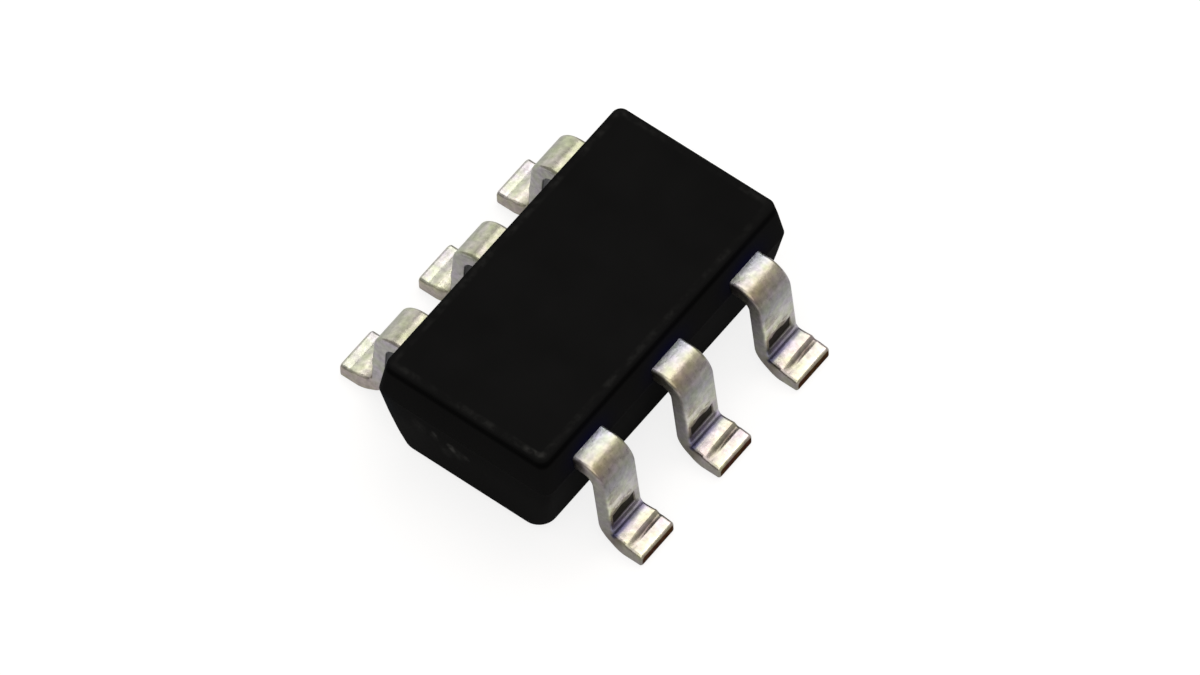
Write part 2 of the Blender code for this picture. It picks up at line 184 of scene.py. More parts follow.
def skin(name, rings, flat_from=30.0):
    """One closed mesh over rings in millimetres: an array of ring, point on the ring, and x y z.

    Quads join each ring to the next, and a flat polygon closes either end. Shading is smooth, apart
    from edges sharper than flat_from degrees.
    """
    count, size = rings.shape[:2]
    grid = np.arange(count * size).reshape(count, size)
    after = np.roll(grid, -1, axis=1)
    quads = np.stack([grid[:-1], after[:-1], after[1:], grid[1:]], axis=-1).reshape(-1, 4)
    faces = quads.tolist() + [grid[0][::-1].tolist(), grid[-1].tolist()]
    mesh = bpy.data.meshes.new(name)
    mesh.from_pydata((rings.reshape(-1, 3) * MM).tolist(), [], faces)
    shape = bmesh.new()
    shape.from_mesh(mesh)
    bmesh.ops.recalc_face_normals(shape, faces=shape.faces)
    shape.to_mesh(mesh)
    shape.free()
    mesh.shade_smooth()
    mesh.set_sharp_from_angle(angle=math.radians(flat_from))
    for cap in list(mesh.polygons)[-2:]:
        cap.use_smooth = False
    piece = bpy.data.objects.new(name, mesh)
    bpy.context.scene.collection.objects.link(piece)
    return piece


def store(piece, name, values):
    """Keep one number for each point of the mesh, which a material can read by its name."""
    attribute = piece.data.attributes.new(name, "FLOAT", "POINT")
    attribute.data.foreach_set("value", np.asarray(values, np.float32).ravel())


def store_colour(piece, name, colours):
    """Keep one linear colour for each point of the mesh."""
    attribute = piece.data.attributes.new(name, "FLOAT_COLOR", "POINT")
    attribute.data.foreach_set("color", np.asarray(colours, np.float32).ravel())


def dress(piece, node, material):
    """The piece stands for a CAD node, rides on the part and gets its material."""
    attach(piece, "root")
    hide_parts(node)
    piece.data.materials.append(material)


# %% [markdown]
# ## The moulded block
# A transfer mould closes round the lead frame and is filled with black epoxy. Each half of the
# mould is drafted, so that the block lets go, and the two halves never meet exactly: a fine step
# runs round the widest line. A cube with a Bevel modifier has neither draft nor step. Here the
# outline is a rounded rectangle, and its size, height and corner radius are worked out for a
# column of levels between the underside and the top.

# %% Sizes of the block
body_low, body_high = (np.array(corner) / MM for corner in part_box("mould_body"))
BODY_LENGTH, BODY_WIDTH = (body_high - body_low)[:2]
STANDOFF, BODY_HEIGHT = body_low[2], body_high[2]
PARTING_HEIGHT = 0.755
SIDE_DRAFT = math.radians(10)
END_DRAFT = math.radians(6)
CORNER_RADII = (             # height, then the radius of the upright corners there
    (STANDOFF, 0.16),
    (0.25, 0.11),
    (0.50, 0.08),
    (PARTING_HEIGHT, 0.075),
    (0.98, 0.065),
    (BODY_HEIGHT, 0.075),
)
SMALLEST_RADIUS = 0.02
TOP_RIM = 0.020
BOTTOM_RIM = 0.042
PARTING_STEP = 0.003
CORNER_POINTS = 14
LONG_SIDE_POINTS = 30
SHORT_SIDE_POINTS = 18
RIM_RINGS = 9
LOW_WALL_RINGS = 11
HIGH_WALL_RINGS = 23
FLAT_INSETS = np.array([0.3, 0.12, 0.06, 0.045, 0.03, 0.015])   # rings on the underside and the top
print("block", round(BODY_LENGTH, 3), "by", round(BODY_WIDTH, 3), "mm,", round(BODY_HEIGHT, 3), "high")

# %% Outline and levels


def outline_terms():
    """Each outline point as (a, b, turn): it lies at a and b times the corner centres, plus a radius.

    Along a round corner the turn goes through a quarter. Along a side the turn stands still, and a
    or b runs from one corner to the next.
    """
    terms = []
    corners = ((1, 1), (-1, 1), (-1, -1), (1, -1))
    for quarter, (a, b) in enumerate(corners):
        turns = np.linspace(0, math.pi / 2, CORNER_POINTS) + quarter * math.pi / 2
        terms.append(np.column_stack([np.full_like(turns, a), np.full_like(turns, b), turns]))
        next_a, next_b = corners[(quarter + 1) % 4]
        count = LONG_SIDE_POINTS if next_b == b else SHORT_SIDE_POINTS
        share = np.linspace(0, 1, count + 2)[1:-1]
        terms.append(np.column_stack([a + (next_a - a) * share, b + (next_b - b) * share,
                                      np.full_like(share, turns[-1])]))
    return np.concatenate(terms)


def block_levels():
    """Height and inset of each ring: over the underside, up the two walls and over the top.

    Round the lower rim, the height above the underside is the rim's radius times one less the
    cosine of the turn, and the inset is the radius times one less its sine. The upper rim is the
    same the other way up.
    """
    arc = np.linspace(0, math.pi / 2, RIM_RINGS)
    from_flat = 1 - np.cos(arc)
    to_wall = 1 - np.sin(arc)
    step_end = PARTING_HEIGHT + PARTING_STEP
    low_heights = np.linspace(STANDOFF + BOTTOM_RIM, PARTING_HEIGHT, LOW_WALL_RINGS + 1)[1:]
    high_heights = np.linspace(step_end, BODY_HEIGHT - TOP_RIM, HIGH_WALL_RINGS + 1)[1:]
    under = np.column_stack([np.full_like(FLAT_INSETS, STANDOFF), BOTTOM_RIM + FLAT_INSETS])
    low_rim = np.column_stack([STANDOFF + BOTTOM_RIM * from_flat, BOTTOM_RIM * to_wall])
    low_wall = np.column_stack([low_heights, np.zeros(LOW_WALL_RINGS)])
    step = np.array([[step_end, PARTING_STEP]])
    high_wall = np.column_stack([high_heights, np.zeros(HIGH_WALL_RINGS)])
    high_rim = np.column_stack([BODY_HEIGHT - TOP_RIM * to_wall, TOP_RIM * from_flat])[1:]
    top = np.column_stack([np.full_like(FLAT_INSETS, BODY_HEIGHT), TOP_RIM + FLAT_INSETS[::-1]])
    return np.concatenate([under, low_rim, low_wall, step, high_wall, high_rim, top])


def block_rings():
    """The block's skin as rings: the outline at each level, drafted away from the parting line.

    Each half-size is half the block's, less the tangent of the draft times the distance from the
    parting line, less the inset.
    """
    a, b, turn = outline_terms().T
    height, inset = block_levels().T[..., None]
    away = np.abs(height - PARTING_HEIGHT)
    half_length = BODY_LENGTH / 2 - away * math.tan(END_DRAFT) - inset
    half_width = BODY_WIDTH / 2 - away * math.tan(SIDE_DRAFT) - inset
    radius = np.interp(height, *zip(*CORNER_RADII))
    radius = np.maximum(radius - inset, SMALLEST_RADIUS)
    x = a * (half_length - radius) + radius * np.cos(turn)
    y = b * (half_width - radius) + radius * np.sin(turn)
    return np.stack([x, y, np.broadcast_to(height, x.shape)], axis=-1)


def distance_from_top_edge():
    """How far each ring lies from the top edge: positive in from it, and negative down the wall."""
    height, inset = block_levels().T
    inwards = np.where(height > PARTING_HEIGHT, inset, 0.0)
    return inwards - TOP_RIM / 2 - np.maximum(BODY_HEIGHT - TOP_RIM / 2 - height, 0.0)


# %% [markdown]
# ## What black epoxy looks like
# The block is moulded epoxy filled with silica and carbon black. The mould's spark-eroded walls
# leave a fine matte grain, so it has hardly a highlight: the eye sees near-black faces, a slightly
# lighter rim along the top edge, which is a painted highlight, and a few pale scuffs on the end that
# slid along the packing tube. Most of the gloss of its IOR of 1.5 is taken off by the grain. The real
# grain is about 0.005 mm and wouldn't show, so it is drawn at 0.03 mm.

# %% Material of the block
EPOXY_GRAIN_MM = 0.03
EPOXY_CLOUD_MM = 0.5
RIM_HIGHLIGHT_BREAKUP_MM = 0.05
RIM_BLOTCH_MM = 0.22
SCUFF_RAGGED_MM = 0.04
RAGGED_SHIFT_MM = 0.045     # how far the noise moves the scuffs' outlines
SCUFF_SQUEEZE = (1.0, 1.0, 0.75)
SCUFF_CORE = 0.3            # share of a scuff's size within which it keeps its full strength
GRAIN_DEPTH_MM = 0.0012
EPOXY_TONES = ("#121212", "#151515")
# painted light: the walls paler than the top, most of all low down
WALL_PAINTED_LIGHT_TONE = "#222222"
# painted light on the low part of the ends
END_PAINTED_LIGHT_TONE = "#2A2A2A"
# painted highlight along the top edge
RIM_HIGHLIGHT_TONE = "#40403E"
# painted shade just below the top edge
UNDER_RIM_SHADE_TONE = "#080808"
SCUFF_TONE = "#4A4A49"
# faint painted blue-black sheen round each lead
PAINTED_SHEEN_TONE = "#09092E"
# painted blue-grey reflection on one upright corner
UPRIGHT_REFLECTION_TONE = "#36404A"
SCUFFS = (                  # y and z of each middle, size and strength
    (0.410, 0.590, 0.085, 0.22),
    (0.262, 0.622, 0.034, 0.50),
    (0.270, 0.575, 0.050, 0.30),
    (0.118, 0.560, 0.050, 0.95),
    (0.070, 0.520, 0.080, 0.30),
    (-0.020, 0.545, 0.042, 0.35),
    (0.180, 0.440, 0.070, 0.22),
)


def scuffs(tree, place):
    """Soft pale spots on the -X end: each one's strength falls off with the distance to its middle.

    Heights count for less than widths, so that the spots are upright ovals.
    """
    ragged = noise(tree, place, SCUFF_RAGGED_MM, output="Color")
    shifted = add_node(tree, "VectorMath", {"operation": "MULTIPLY_ADD"},
                       {0: ragged, 1: (RAGGED_SHIFT_MM * MM,) * 3, 2: place}).outputs[0]
    squeezed = add_node(tree, "VectorMath", {"operation": "MULTIPLY"},
                        {0: shifted, 1: SCUFF_SQUEEZE}).outputs[0]
    total = 0.0
    for y, z, size, strength in SCUFFS:
        wall = -BODY_LENGTH / 2 + (PARTING_HEIGHT - z) * math.tan(END_DRAFT)
        middle = np.array([wall, y, z]) + RAGGED_SHIFT_MM / 2
        middle = middle * SCUFF_SQUEEZE * MM
        away = add_node(tree, "VectorMath", {"operation": "DISTANCE"}, {0: squeezed, 1: middle})
        spot = spread(tree, away.outputs["Value"], SCUFF_CORE * size * MM, size * MM, strength, 0.0)
        total = calculate(tree, "ADD", total, spot)
    patchy = spread(tree, noise(tree, place, SCUFF_RAGGED_MM), 0.40, 0.60, 0.45, 1.0)
    return calculate(tree, "MULTIPLY", total, patchy)


def moulded_epoxy():
    """Near-black matte epoxy: soft clouds, then its painted light and shade and its scuffs one over the
    other, and a fine grain.
    """
    material, tree, shader = new_material("moulded_black_epoxy", Roughness=0.6, IOR=1.5,
                                          Specular_IOR_Level=0.004)
    place = add_node(tree, "TexCoord").outputs["Object"]
    cloud = spread(tree, noise(tree, place, EPOXY_CLOUD_MM), 0.3, 0.7)
    grain = noise(tree, place, EPOXY_GRAIN_MM, 3.0, 0.6)
    # noise that breaks up the rim's painted highlight
    highlight_breakup = spread(tree, noise(tree, place, RIM_HIGHLIGHT_BREAKUP_MM, 3.0), 0.38, 0.62, 0.15, 1.0)
    blotch = spread(tree, noise(tree, place, RIM_BLOTCH_MM, 1.0), 0.44, 0.58, 0.25, 1.3)
    highlight_breakup = calculate(tree, "MULTIPLY", highlight_breakup, blotch)
    # painted light and shade on the block, and its real scuffs, one over the other
    painted_light_and_scuffs = (
        (read(tree, "wall"), WALL_PAINTED_LIGHT_TONE),
        (read(tree, "end_wall"), END_PAINTED_LIGHT_TONE),
        (calculate(tree, "MULTIPLY", read(tree, "painted_rim_highlight"), highlight_breakup), RIM_HIGHLIGHT_TONE),
        (read(tree, "painted_shade_under_rim"), UNDER_RIM_SHADE_TONE),
        (scuffs(tree, place), SCUFF_TONE),
        (read(tree, "lead_exit"), PAINTED_SHEEN_TONE),
        (read(tree, "painted_reflection_upright"), UPRIGHT_REFLECTION_TONE),
    )
    colour = blend_colour(tree, cloud, linear(EPOXY_TONES[0]), linear(EPOXY_TONES[1]))
    for share, tone in painted_light_and_scuffs:
        colour = blend_colour(tree, share, colour, linear(tone))
    tree.links.new(colour, shader.inputs["Base Color"])
    bump = add_node(tree, "Bump", None, {"Height": grain, "Distance": GRAIN_DEPTH_MM * MM,
                                         "Strength": 1.0})
    tree.links.new(bump.outputs["Normal"], shader.inputs["Normal"])
    return material


# %% [markdown]
# ## Where light and shade are painted on the block
# The painted light and shade are stored on the mesh, worked out from where each point lies. The
# walls are painted a little paler than the top, most of all low down, and there one half of either
# end is painted paler still. A painted highlight lies just inside the top edge, brightest at one
# corner, with a painted dark line of shade just below the edge. One upright corner carries a painted
# blue-grey reflection, and a faint painted blue-black sheen lies round each lead.

# %% Store the painted light and shade
# the rim's painted highlight lies in the first band, brightest at one corner
PALE_BAND = (0.002, 0.070)      # distances inwards from the top edge
# and a painted line of shade lies in this band
DARK_BAND = (-0.085, -0.008)    # and down the wall from it
HIGHLIGHT_CORNER = (-1.42, -0.74)
CORNER_FALLOFF = 0.14
RIM_PALENESS = 0.15             # away from the brightest corner of the painted highlight, where it is one
# painted light on the walls, by height
WALL_START = 0.03               # the walls reach their paleness this far below the top edge
WALL_HEIGHTS = (STANDOFF, 0.50, PARTING_HEIGHT - 0.001, PARTING_HEIGHT, BODY_HEIGHT)
WALL_PALENESS = (0.56, 0.50, 0.16, 0.37, 0.21)
# painted light on the low part of each end, paler towards one side
END_START = 1.30                # distance from the middle where the ends begin
END_SOFTNESS = 0.06
PALE_END_HEIGHT = 0.57
PALE_END_SOFTNESS = 0.10
PALE_END_SIDE = (0.1, 0.6)      # where the paler half starts, and the width over which it grows
END_PALENESS = 0.5
# a painted reflection on one upright corner
REFLECTING_UPRIGHT = (-1.42, 0.75)
UPRIGHT_FALLOFF = 0.05
UPRIGHT_SPAN = (0.45, 0.80)
UPRIGHT_PALENESS = 0.6
LEAD_PITCH = 0.95
# a faint painted blue-black sheen round each lead
SHEEN_HALF_WIDTH = 0.20
SHEEN_HALF_HEIGHT = 0.12
SHEEN_LEVEL = 0.86
SHEEN_WALL = (0.70, 0.03)       # distance from the middle where it starts, and its softness
SHEEN_STRENGTH = 0.8


def ramp(value, width):
    """A soft step: nought below zero, one above the width, and an even curve between."""
    share = np.clip(value / width, 0, 1)
    return share * share * (3 - 2 * share)


def hump(travelled, span, power=1.0):
    """A round hump of height one over a span, and nought outside it."""
    share = np.clip((travelled - span[0]) / (span[1] - span[0]), 0, 1)
    return np.sin(math.pi * share) ** power


def near_to(x, y, spot, falloff):
    """One at a spot seen from above, and less with the distance: e to the minus distance by falloff."""
    return np.exp(-np.hypot(x - spot[0], y - spot[1]) / falloff)


def bell(value, half_width):
    """A bell curve round nought: e to the minus square of the value by its half-width."""
    return np.exp(-(value / half_width) ** 2)


def painted_light_places(rings):
    """For each point: how far it belongs to each place where light or shade is painted."""
    x, y, z = np.moveaxis(rings, -1, 0)
    from_edge = distance_from_top_edge()[:, None] * np.ones_like(x)
    corner = near_to(x, y, HIGHLIGHT_CORNER, CORNER_FALLOFF)
    low_end = ramp(np.abs(x) - END_START, END_SOFTNESS) * ramp(PALE_END_HEIGHT - z, PALE_END_SOFTNESS)
    pale_half = ramp(-np.sign(x) * y - PALE_END_SIDE[0], PALE_END_SIDE[1])
    upright = near_to(x, y, REFLECTING_UPRIGHT, UPRIGHT_FALLOFF) * hump(z, UPRIGHT_SPAN)
    from_lead = (np.abs(x) + LEAD_PITCH / 2) % LEAD_PITCH - LEAD_PITCH / 2
    sheen = bell(from_lead, SHEEN_HALF_WIDTH) * bell(z - SHEEN_LEVEL, SHEEN_HALF_HEIGHT)
    return {
        "painted_rim_highlight": hump(from_edge, PALE_BAND) * (RIM_PALENESS + (1 - RIM_PALENESS) * corner),
        "wall": ramp(-from_edge, WALL_START) * np.interp(z, WALL_HEIGHTS, WALL_PALENESS),
        "painted_shade_under_rim": hump(from_edge, DARK_BAND, 0.6),
        "end_wall": END_PALENESS * low_end * pale_half,
        "painted_reflection_upright": UPRIGHT_PALENESS * upright,
        "lead_exit": SHEEN_STRENGTH * sheen * ramp(np.abs(y) - SHEEN_WALL[0], SHEEN_WALL[1]),
    }


rings = block_rings()
block = skin("moulded_block", rings)
for name, values in painted_light_places(rings).items():
    store(block, name, values)
dress(block, "mould_body", moulded_epoxy())
print("block has", len(block.data.vertices), "points")

# %% [markdown]
# ## The formed leads
# Each lead is stamped from copper alloy strip 0.125 mm thick, bent to a gull wing once the block
# is moulded, and pressed at its foot by the forming tool. A Curve with a bevelled section would
# bend, but it couldn't carry the pressed marks. So the middle plane is a path of straight and
# round runs, the section is a rectangle with rounded edges, and the marks are added to the
# section's top as functions of the travelled length and of the place across. From the block to the
# toe they are a low lip, two small burrs, a sunk patch, a crease, a ridge like a ledge and a groove.

# %% Sizes of a lead
LEAD_NODES = ("lead_1", "lead_2_with_die_paddle", "lead_3", "lead_4", "lead_5", "lead_6")
LEAD_WIDTH = 0.37
LEAD_THICKNESS = 0.125
TOP_EDGE = 0.028            # the stamping die rounds the upper edges
UNDER_EDGE = 0.012
SHOULDER_REACH = 0.06
SHOULDER_BEND = 0.16
HEEL_BEND = 0.12
TOE_BEND = 0.16
DROP_ANGLE = math.radians(85)
HEEL_ANGLE = math.radians(28)
HEEL_RUN = 0.06
FOOT_SPREAD = 0.015
TOE_ROUND = 0.021
TOE_UNDER_ROUND = 0.018

# %% Sizes of the pressed marks
RIDGE_LENGTH = 0.107
RIDGE_SLOPE = math.radians(5)
RIDGE_FALL = (0.095, 0.038)         # length of the fall towards the -X and +X edges
RIDGE_FALL_SIDES = (-0.9, 0.2)      # the places across where it has those lengths
FAR_RIDGE_FALL = 0.085              # and its length on the far leads
GROOVE_WIDTH = 0.050
GROOVE_DEPTH = 0.005
GROOVE_SIDES = (-1.0, -0.3, 0.4, 1.0)
GROOVE_SHARES = (0.1, 0.7, 1.0, 0.4)
CREASE_WIDTH = 0.066
CREASE_DEPTH = 0.006
CREST_FROM_TOE = 0.167
FAR_MARKS = 0.25            # share of the groove and the crease that the far leads have
PAD_LENGTH = 0.100
PAD_DROP = 0.018            # the tool thins the near feet towards the toe
LIP_LENGTH = 0.125
LIP_HEIGHT = 0.006
LIP_SIDES = (0.0, 0.8)      # the lip fades between these places across
PATCH_LENGTH = 0.120
PATCH_ABOVE_HEEL = 0.155
PATCH_DEPTH = 0.010
PATCH_SIDE_MARGIN = 0.055
PATCH_OFFSET = 0.020
PATCH_SOFTNESS = 0.010
PATCH_WAVE = 0.009          # its upper edge is wavy
PATCH_WAVE_WIDTH = 0.17
BURR_ABOVE_PATCH = 0.068
BURR_HEIGHT = 0.011         # metal pushed up at two places above that edge
BURR_RISE = 0.006
BURR_FALL = 0.030
BURR_HALF_WIDTH = 0.125
BURR_SOFTNESS = 0.03
BURR_SPACING = 0.12
BURR_MIDDLE = -0.07

# %% Sizes of its inner end
paddle_low, paddle_high = (np.array(corner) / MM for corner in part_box("lead_2_with_die_paddle"))
lead_low, lead_high = (np.array(corner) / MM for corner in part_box("lead_1"))
LEAD_SPAN = -2 * lead_low[1]
LEAD_TOP = lead_high[2]
LEAD_PLANE = LEAD_TOP - LEAD_THICKNESS / 2
INNER_TIP = -lead_high[1]
INNER_PAD_WIDTH = lead_high[0] - lead_low[0]
PADDLE_HALF_LENGTH = paddle_high[0]
PADDLE_EDGE = paddle_high[1]
PADDLE_DOWNSET = 0.12
DOWNSET_RUN = 0.09
NECK_INSET = 0.08
NECK_LENGTH = 0.06
NECK_WIDTH = 0.27
NOTCH_RAMP = 0.03
print("leads span", round(LEAD_SPAN, 3), "mm, shoulders at", round(LEAD_TOP, 3), "mm")

# %% The path of the middle plane


def lead_path():
    """Straight and round runs of (length, turn) from the block's middle outwards to the toe.

    The down-run's length is what is left between the shoulder's height and the foot's.
    """
    drop = LEAD_PLANE - LEAD_THICKNESS / 2
    drop -= SHOULDER_BEND * (1 - math.cos(DROP_ANGLE))
    drop -= HEEL_BEND * (math.cos(HEEL_ANGLE) - math.cos(DROP_ANGLE))
    drop -= HEEL_RUN * math.sin(HEEL_ANGLE)
    drop -= TOE_BEND * (1 - math.cos(HEEL_ANGLE))
    runs = [
        (BODY_WIDTH / 2 + SHOULDER_REACH, 0.0),
        (SHOULDER_BEND * DROP_ANGLE, DROP_ANGLE),
        (drop / math.sin(DROP_ANGLE), 0.0),
        (HEEL_BEND * (DROP_ANGLE - HEEL_ANGLE), HEEL_ANGLE - DROP_ANGLE),
        (HEEL_RUN, 0.0),
        (TOE_BEND * HEEL_ANGLE, -HEEL_ANGLE),
    ]
    reach = path_points(runs, np.array([sum(length for length, _ in runs)]))[0][0]
    runs.append((LEAD_SPAN / 2 - reach, 0.0))
    return runs


def path_points(runs, travelled):
    """Reach, height and downward slope after each travelled length.

    Along a straight run the reach grows by the cosine of the slope, and the height falls by its
    sine. Along a round run both are the integrals of a slope that changes evenly.
    """
    reach = np.minimum(travelled, 0.0)
    height = np.full_like(travelled, LEAD_PLANE)
    slope = np.zeros_like(travelled)
    start, angle = 0.0, 0.0
    for length, turn in runs:
        part = np.clip(travelled - start, 0.0, length)
        if turn:
            rate = turn / length
            reach = reach + (np.sin(angle + rate * part) - math.sin(angle)) / rate
            height = height - (math.cos(angle) - np.cos(angle + rate * part)) / rate
            slope = slope + rate * part
        else:
            reach = reach + part * math.cos(angle)
            height = height - part * math.sin(angle)
        start += length
        angle += turn
    return reach, height, slope


runs = lead_path()
ENDS = np.cumsum([length for length, _ in runs])
TOTAL = ENDS[-1]
GROOVE = (TOTAL - PAD_LENGTH - GROOVE_WIDTH, TOTAL - PAD_LENGTH)
RIDGE = (TOTAL - CREST_FROM_TOE - RIDGE_LENGTH, TOTAL - CREST_FROM_TOE)
CREASE = (RIDGE[0] - CREASE_WIDTH, RIDGE[0])
PATCH_MIDDLE = (ENDS[2] + ENDS[3]) / 2 - PATCH_ABOVE_HEEL
PATCH = (PATCH_MIDDLE - PATCH_LENGTH / 2, PATCH_MIDDLE + PATCH_LENGTH / 2)
LIP = (PATCH[0] - LIP_LENGTH, PATCH[0])
BURR = PATCH[0] - BURR_ABOVE_PATCH
print("a lead is", round(TOTAL, 3), "mm long from the block's middle to the toe")

# %% [markdown]
# ## The inner end
# Inside the block each lead widens to a landing for its bond wire, behind a narrow neck that the
# epoxy locks. The ground lead carries the die paddle instead, joggled down a little. None of it
# shows, but the piece keeps the CAD's form all the way.

# %% Plans of the inner ends


def inner_plan(with_paddle):
    """Travelled lengths, half-widths and downset of the inner end."""
    notch_end = BODY_WIDTH / 2 - NECK_INSET
    notch_start = notch_end - NECK_LENGTH - 2 * NOTCH_RAMP
    places = [INNER_TIP, notch_start, notch_start + NOTCH_RAMP, notch_end - NOTCH_RAMP, notch_end]
    widths = [INNER_PAD_WIDTH, INNER_PAD_WIDTH, NECK_WIDTH, NECK_WIDTH, LEAD_WIDTH]
    downset = [0.0] * 5
    if with_paddle:
        neck = PADDLE_EDGE + NOTCH_RAMP
        places = [-PADDLE_EDGE, PADDLE_EDGE, neck, neck + DOWNSET_RUN] + places[2:]
        widths = [2 * PADDLE_HALF_LENGTH] * 2 + [NECK_WIDTH] * 2 + widths[2:]
        downset = [PADDLE_DOWNSET] * 3 + [0.0] * 4
    return np.array(places), np.array(widths) / 2, np.array(downset)


# %% [markdown]
# ## The pressed marks
# Each mark is a shape that runs from nought to one, times its height. The ridge alone is worked
# out from the path under it, because its top is a straight ledge.

# %% Shapes of the pressed marks


def patch_wave(across):
    """How far the upper edge of the patch lies from its mean place."""
    return PATCH_WAVE * np.sin(2 * math.pi * across / PATCH_WAVE_WIDTH)


def burr_shape(travelled, across):
    """One on the two burrs: each has a steep side that faces up, and falls towards the patch."""
    beyond = travelled - BURR - patch_wave(across)
    along = np.clip(beyond / BURR_RISE, 0, 1) * ramp(BURR_RISE + BURR_FALL - beyond, BURR_FALL)
    spots = 0.5 + 0.5 * np.cos(2 * math.pi * (across - BURR_MIDDLE) / BURR_SPACING)
    return along * spots * ramp(BURR_HALF_WIDTH - np.abs(across), BURR_SOFTNESS)


def patch_shape(travelled, across):
    """One inside the sunk patch, nought outside, with soft walls between and a wavy upper edge."""
    start = PATCH[0] + patch_wave(across)
    along = ramp(travelled - start, PATCH_SOFTNESS) * ramp(PATCH[1] - travelled, PATCH_SOFTNESS)
    edge = LEAD_WIDTH / 2 - PATCH_SIDE_MARGIN - np.abs(across + PATCH_OFFSET)
    return along * ramp(edge, PATCH_SOFTNESS)


def ridge_lift(travelled, side, near):
    """How far the top is raised to a ledge that leaves the crease at a small slope.

    The lead is steeper than the ledge, so the lift grows up to the crest. Behind the crest it
    falls back to nought, quickly on the +X side and gently on the -X side.
    """
    half = LEAD_THICKNESS / 2
    start_reach, start_height, start_slope = path_points(runs, np.array([RIDGE[0]]))
    reach, height, slope = path_points(runs, travelled)
    grade = math.tan(RIDGE_SLOPE)
    ledge = start_height + half * np.cos(start_slope) - height
    ledge = ledge - grade * (reach - start_reach - half * np.sin(start_slope))
    lift = ledge / (np.cos(slope) + grade * np.sin(slope)) - half
    fall = np.interp(side, RIDGE_FALL_SIDES, RIDGE_FALL) if near else FAR_RIDGE_FALL
    return np.where(travelled > RIDGE[0], lift, 0.0) * ramp(RIDGE[1] + fall - travelled, fall)


def groove_shape(travelled, side):
    """The groove's hump, deepest on the +X side of the part; side runs from -1 at -X to 1 at +X."""
    return hump(travelled, GROOVE) * np.interp(side, GROOVE_SIDES, GROOVE_SHARES)


def pressed(travelled, across, side, near):
    """How far the marks lift the top: ridge, lip and burrs up, groove, crease, pad and patch down."""
    share = 1.0 if near else FAR_MARKS
    drop = PAD_DROP if near else 0.0
    lift = ridge_lift(travelled, side, near)
    lift = lift - share * GROOVE_DEPTH * groove_shape(travelled, side)
    lift = lift - share * CREASE_DEPTH * hump(travelled, CREASE)
    lift = lift - drop * np.clip((travelled - GROOVE[1]) / PAD_LENGTH, 0, 1)
    lift = lift + LIP_HEIGHT * hump(travelled, LIP) * np.interp(side, LIP_SIDES, (1.0, 0.0))
    lift = lift + BURR_HEIGHT * burr_shape(travelled, across)
    return lift - PATCH_DEPTH * patch_shape(travelled, across)


# %% [markdown]
# ## The section, walked all the way round
# One ring crosses the lead. Each of its points has four terms: how far across it lies, how much of
# the edge's radius it adds outwards, whether it belongs to the top or the underside, and how much
# of the radius it adds in height. With those, the whole lead is a single formula on a grid.

# %% Section of a lead
TOP_POINTS = 41
EDGE_POINTS = 7
SIDE_POINTS = 5
UNDER_POINTS = 9
STEP_OUTSIDE = 0.006        # distance between rings where the lead shows
SMALLEST_STEP = 0.0004
TOE_RINGS = 10
BURR_RINGS = 40


def section_terms():
    """Rows of (across, outwards, top, upwards) round the section, from the top's -X edge."""
    arc = np.linspace(0, math.pi / 2, EDGE_POINTS)[1:]
    side = np.linspace(1, 0, SIDE_POINTS + 2)[1:-1]
    right = [
        *[(1, math.sin(turn), 1, math.cos(turn) - 1) for turn in arc],
        *[(1, 1, top, 1 - 2 * top) for top in side],
        *[(1, math.cos(turn), 0, 1 - math.sin(turn)) for turn in np.append(0, arc)],
    ]
    left = [(-a, -out, top, up) for a, out, top, up in right[::-1]]
    over = [(a, 0, 1, 0) for a in np.linspace(-1, 1, TOP_POINTS)]
    under = [(a, 0, 0, 0) for a in np.linspace(1, -1, UNDER_POINTS)[1:-1]]
    return np.array([*over, *right, *under, *left])


def lead_stations(plan_places):
    """Travelled lengths of the rings: close outside the block, closer still at the burrs and the toe."""
    outside = np.arange(BODY_WIDTH / 2 - NECK_INSET, TOTAL - TOE_ROUND, STEP_OUTSIDE)
    toe = TOTAL - TOE_ROUND * (1 - np.sin(np.linspace(0, math.pi / 2, TOE_RINGS)))
    burr = np.linspace(BURR - PATCH_WAVE, PATCH[0] + 2 * PATCH_WAVE, BURR_RINGS)
    stations = np.unique(np.round(np.concatenate([plan_places, outside, burr, toe]), 6))
    return stations[np.append(True, np.diff(stations) > SMALLEST_STEP)]


# %% [markdown]
# ## Tones along a lead, with painted light and shade
# Bare tin is one colour, and the tones along the lead paint light and shade onto it: highlights on
# the shoulders and feet, a tan fall-off of the highlight on the bends, a darker down-run, a bright
# highlight above the patch, and shade in the patch, on the heel, in the crease and in the groove.
# The near and far leads have tables of their own, lit differently. A list of places and tones along
# the lead, blended between neighbours, says it in one step.

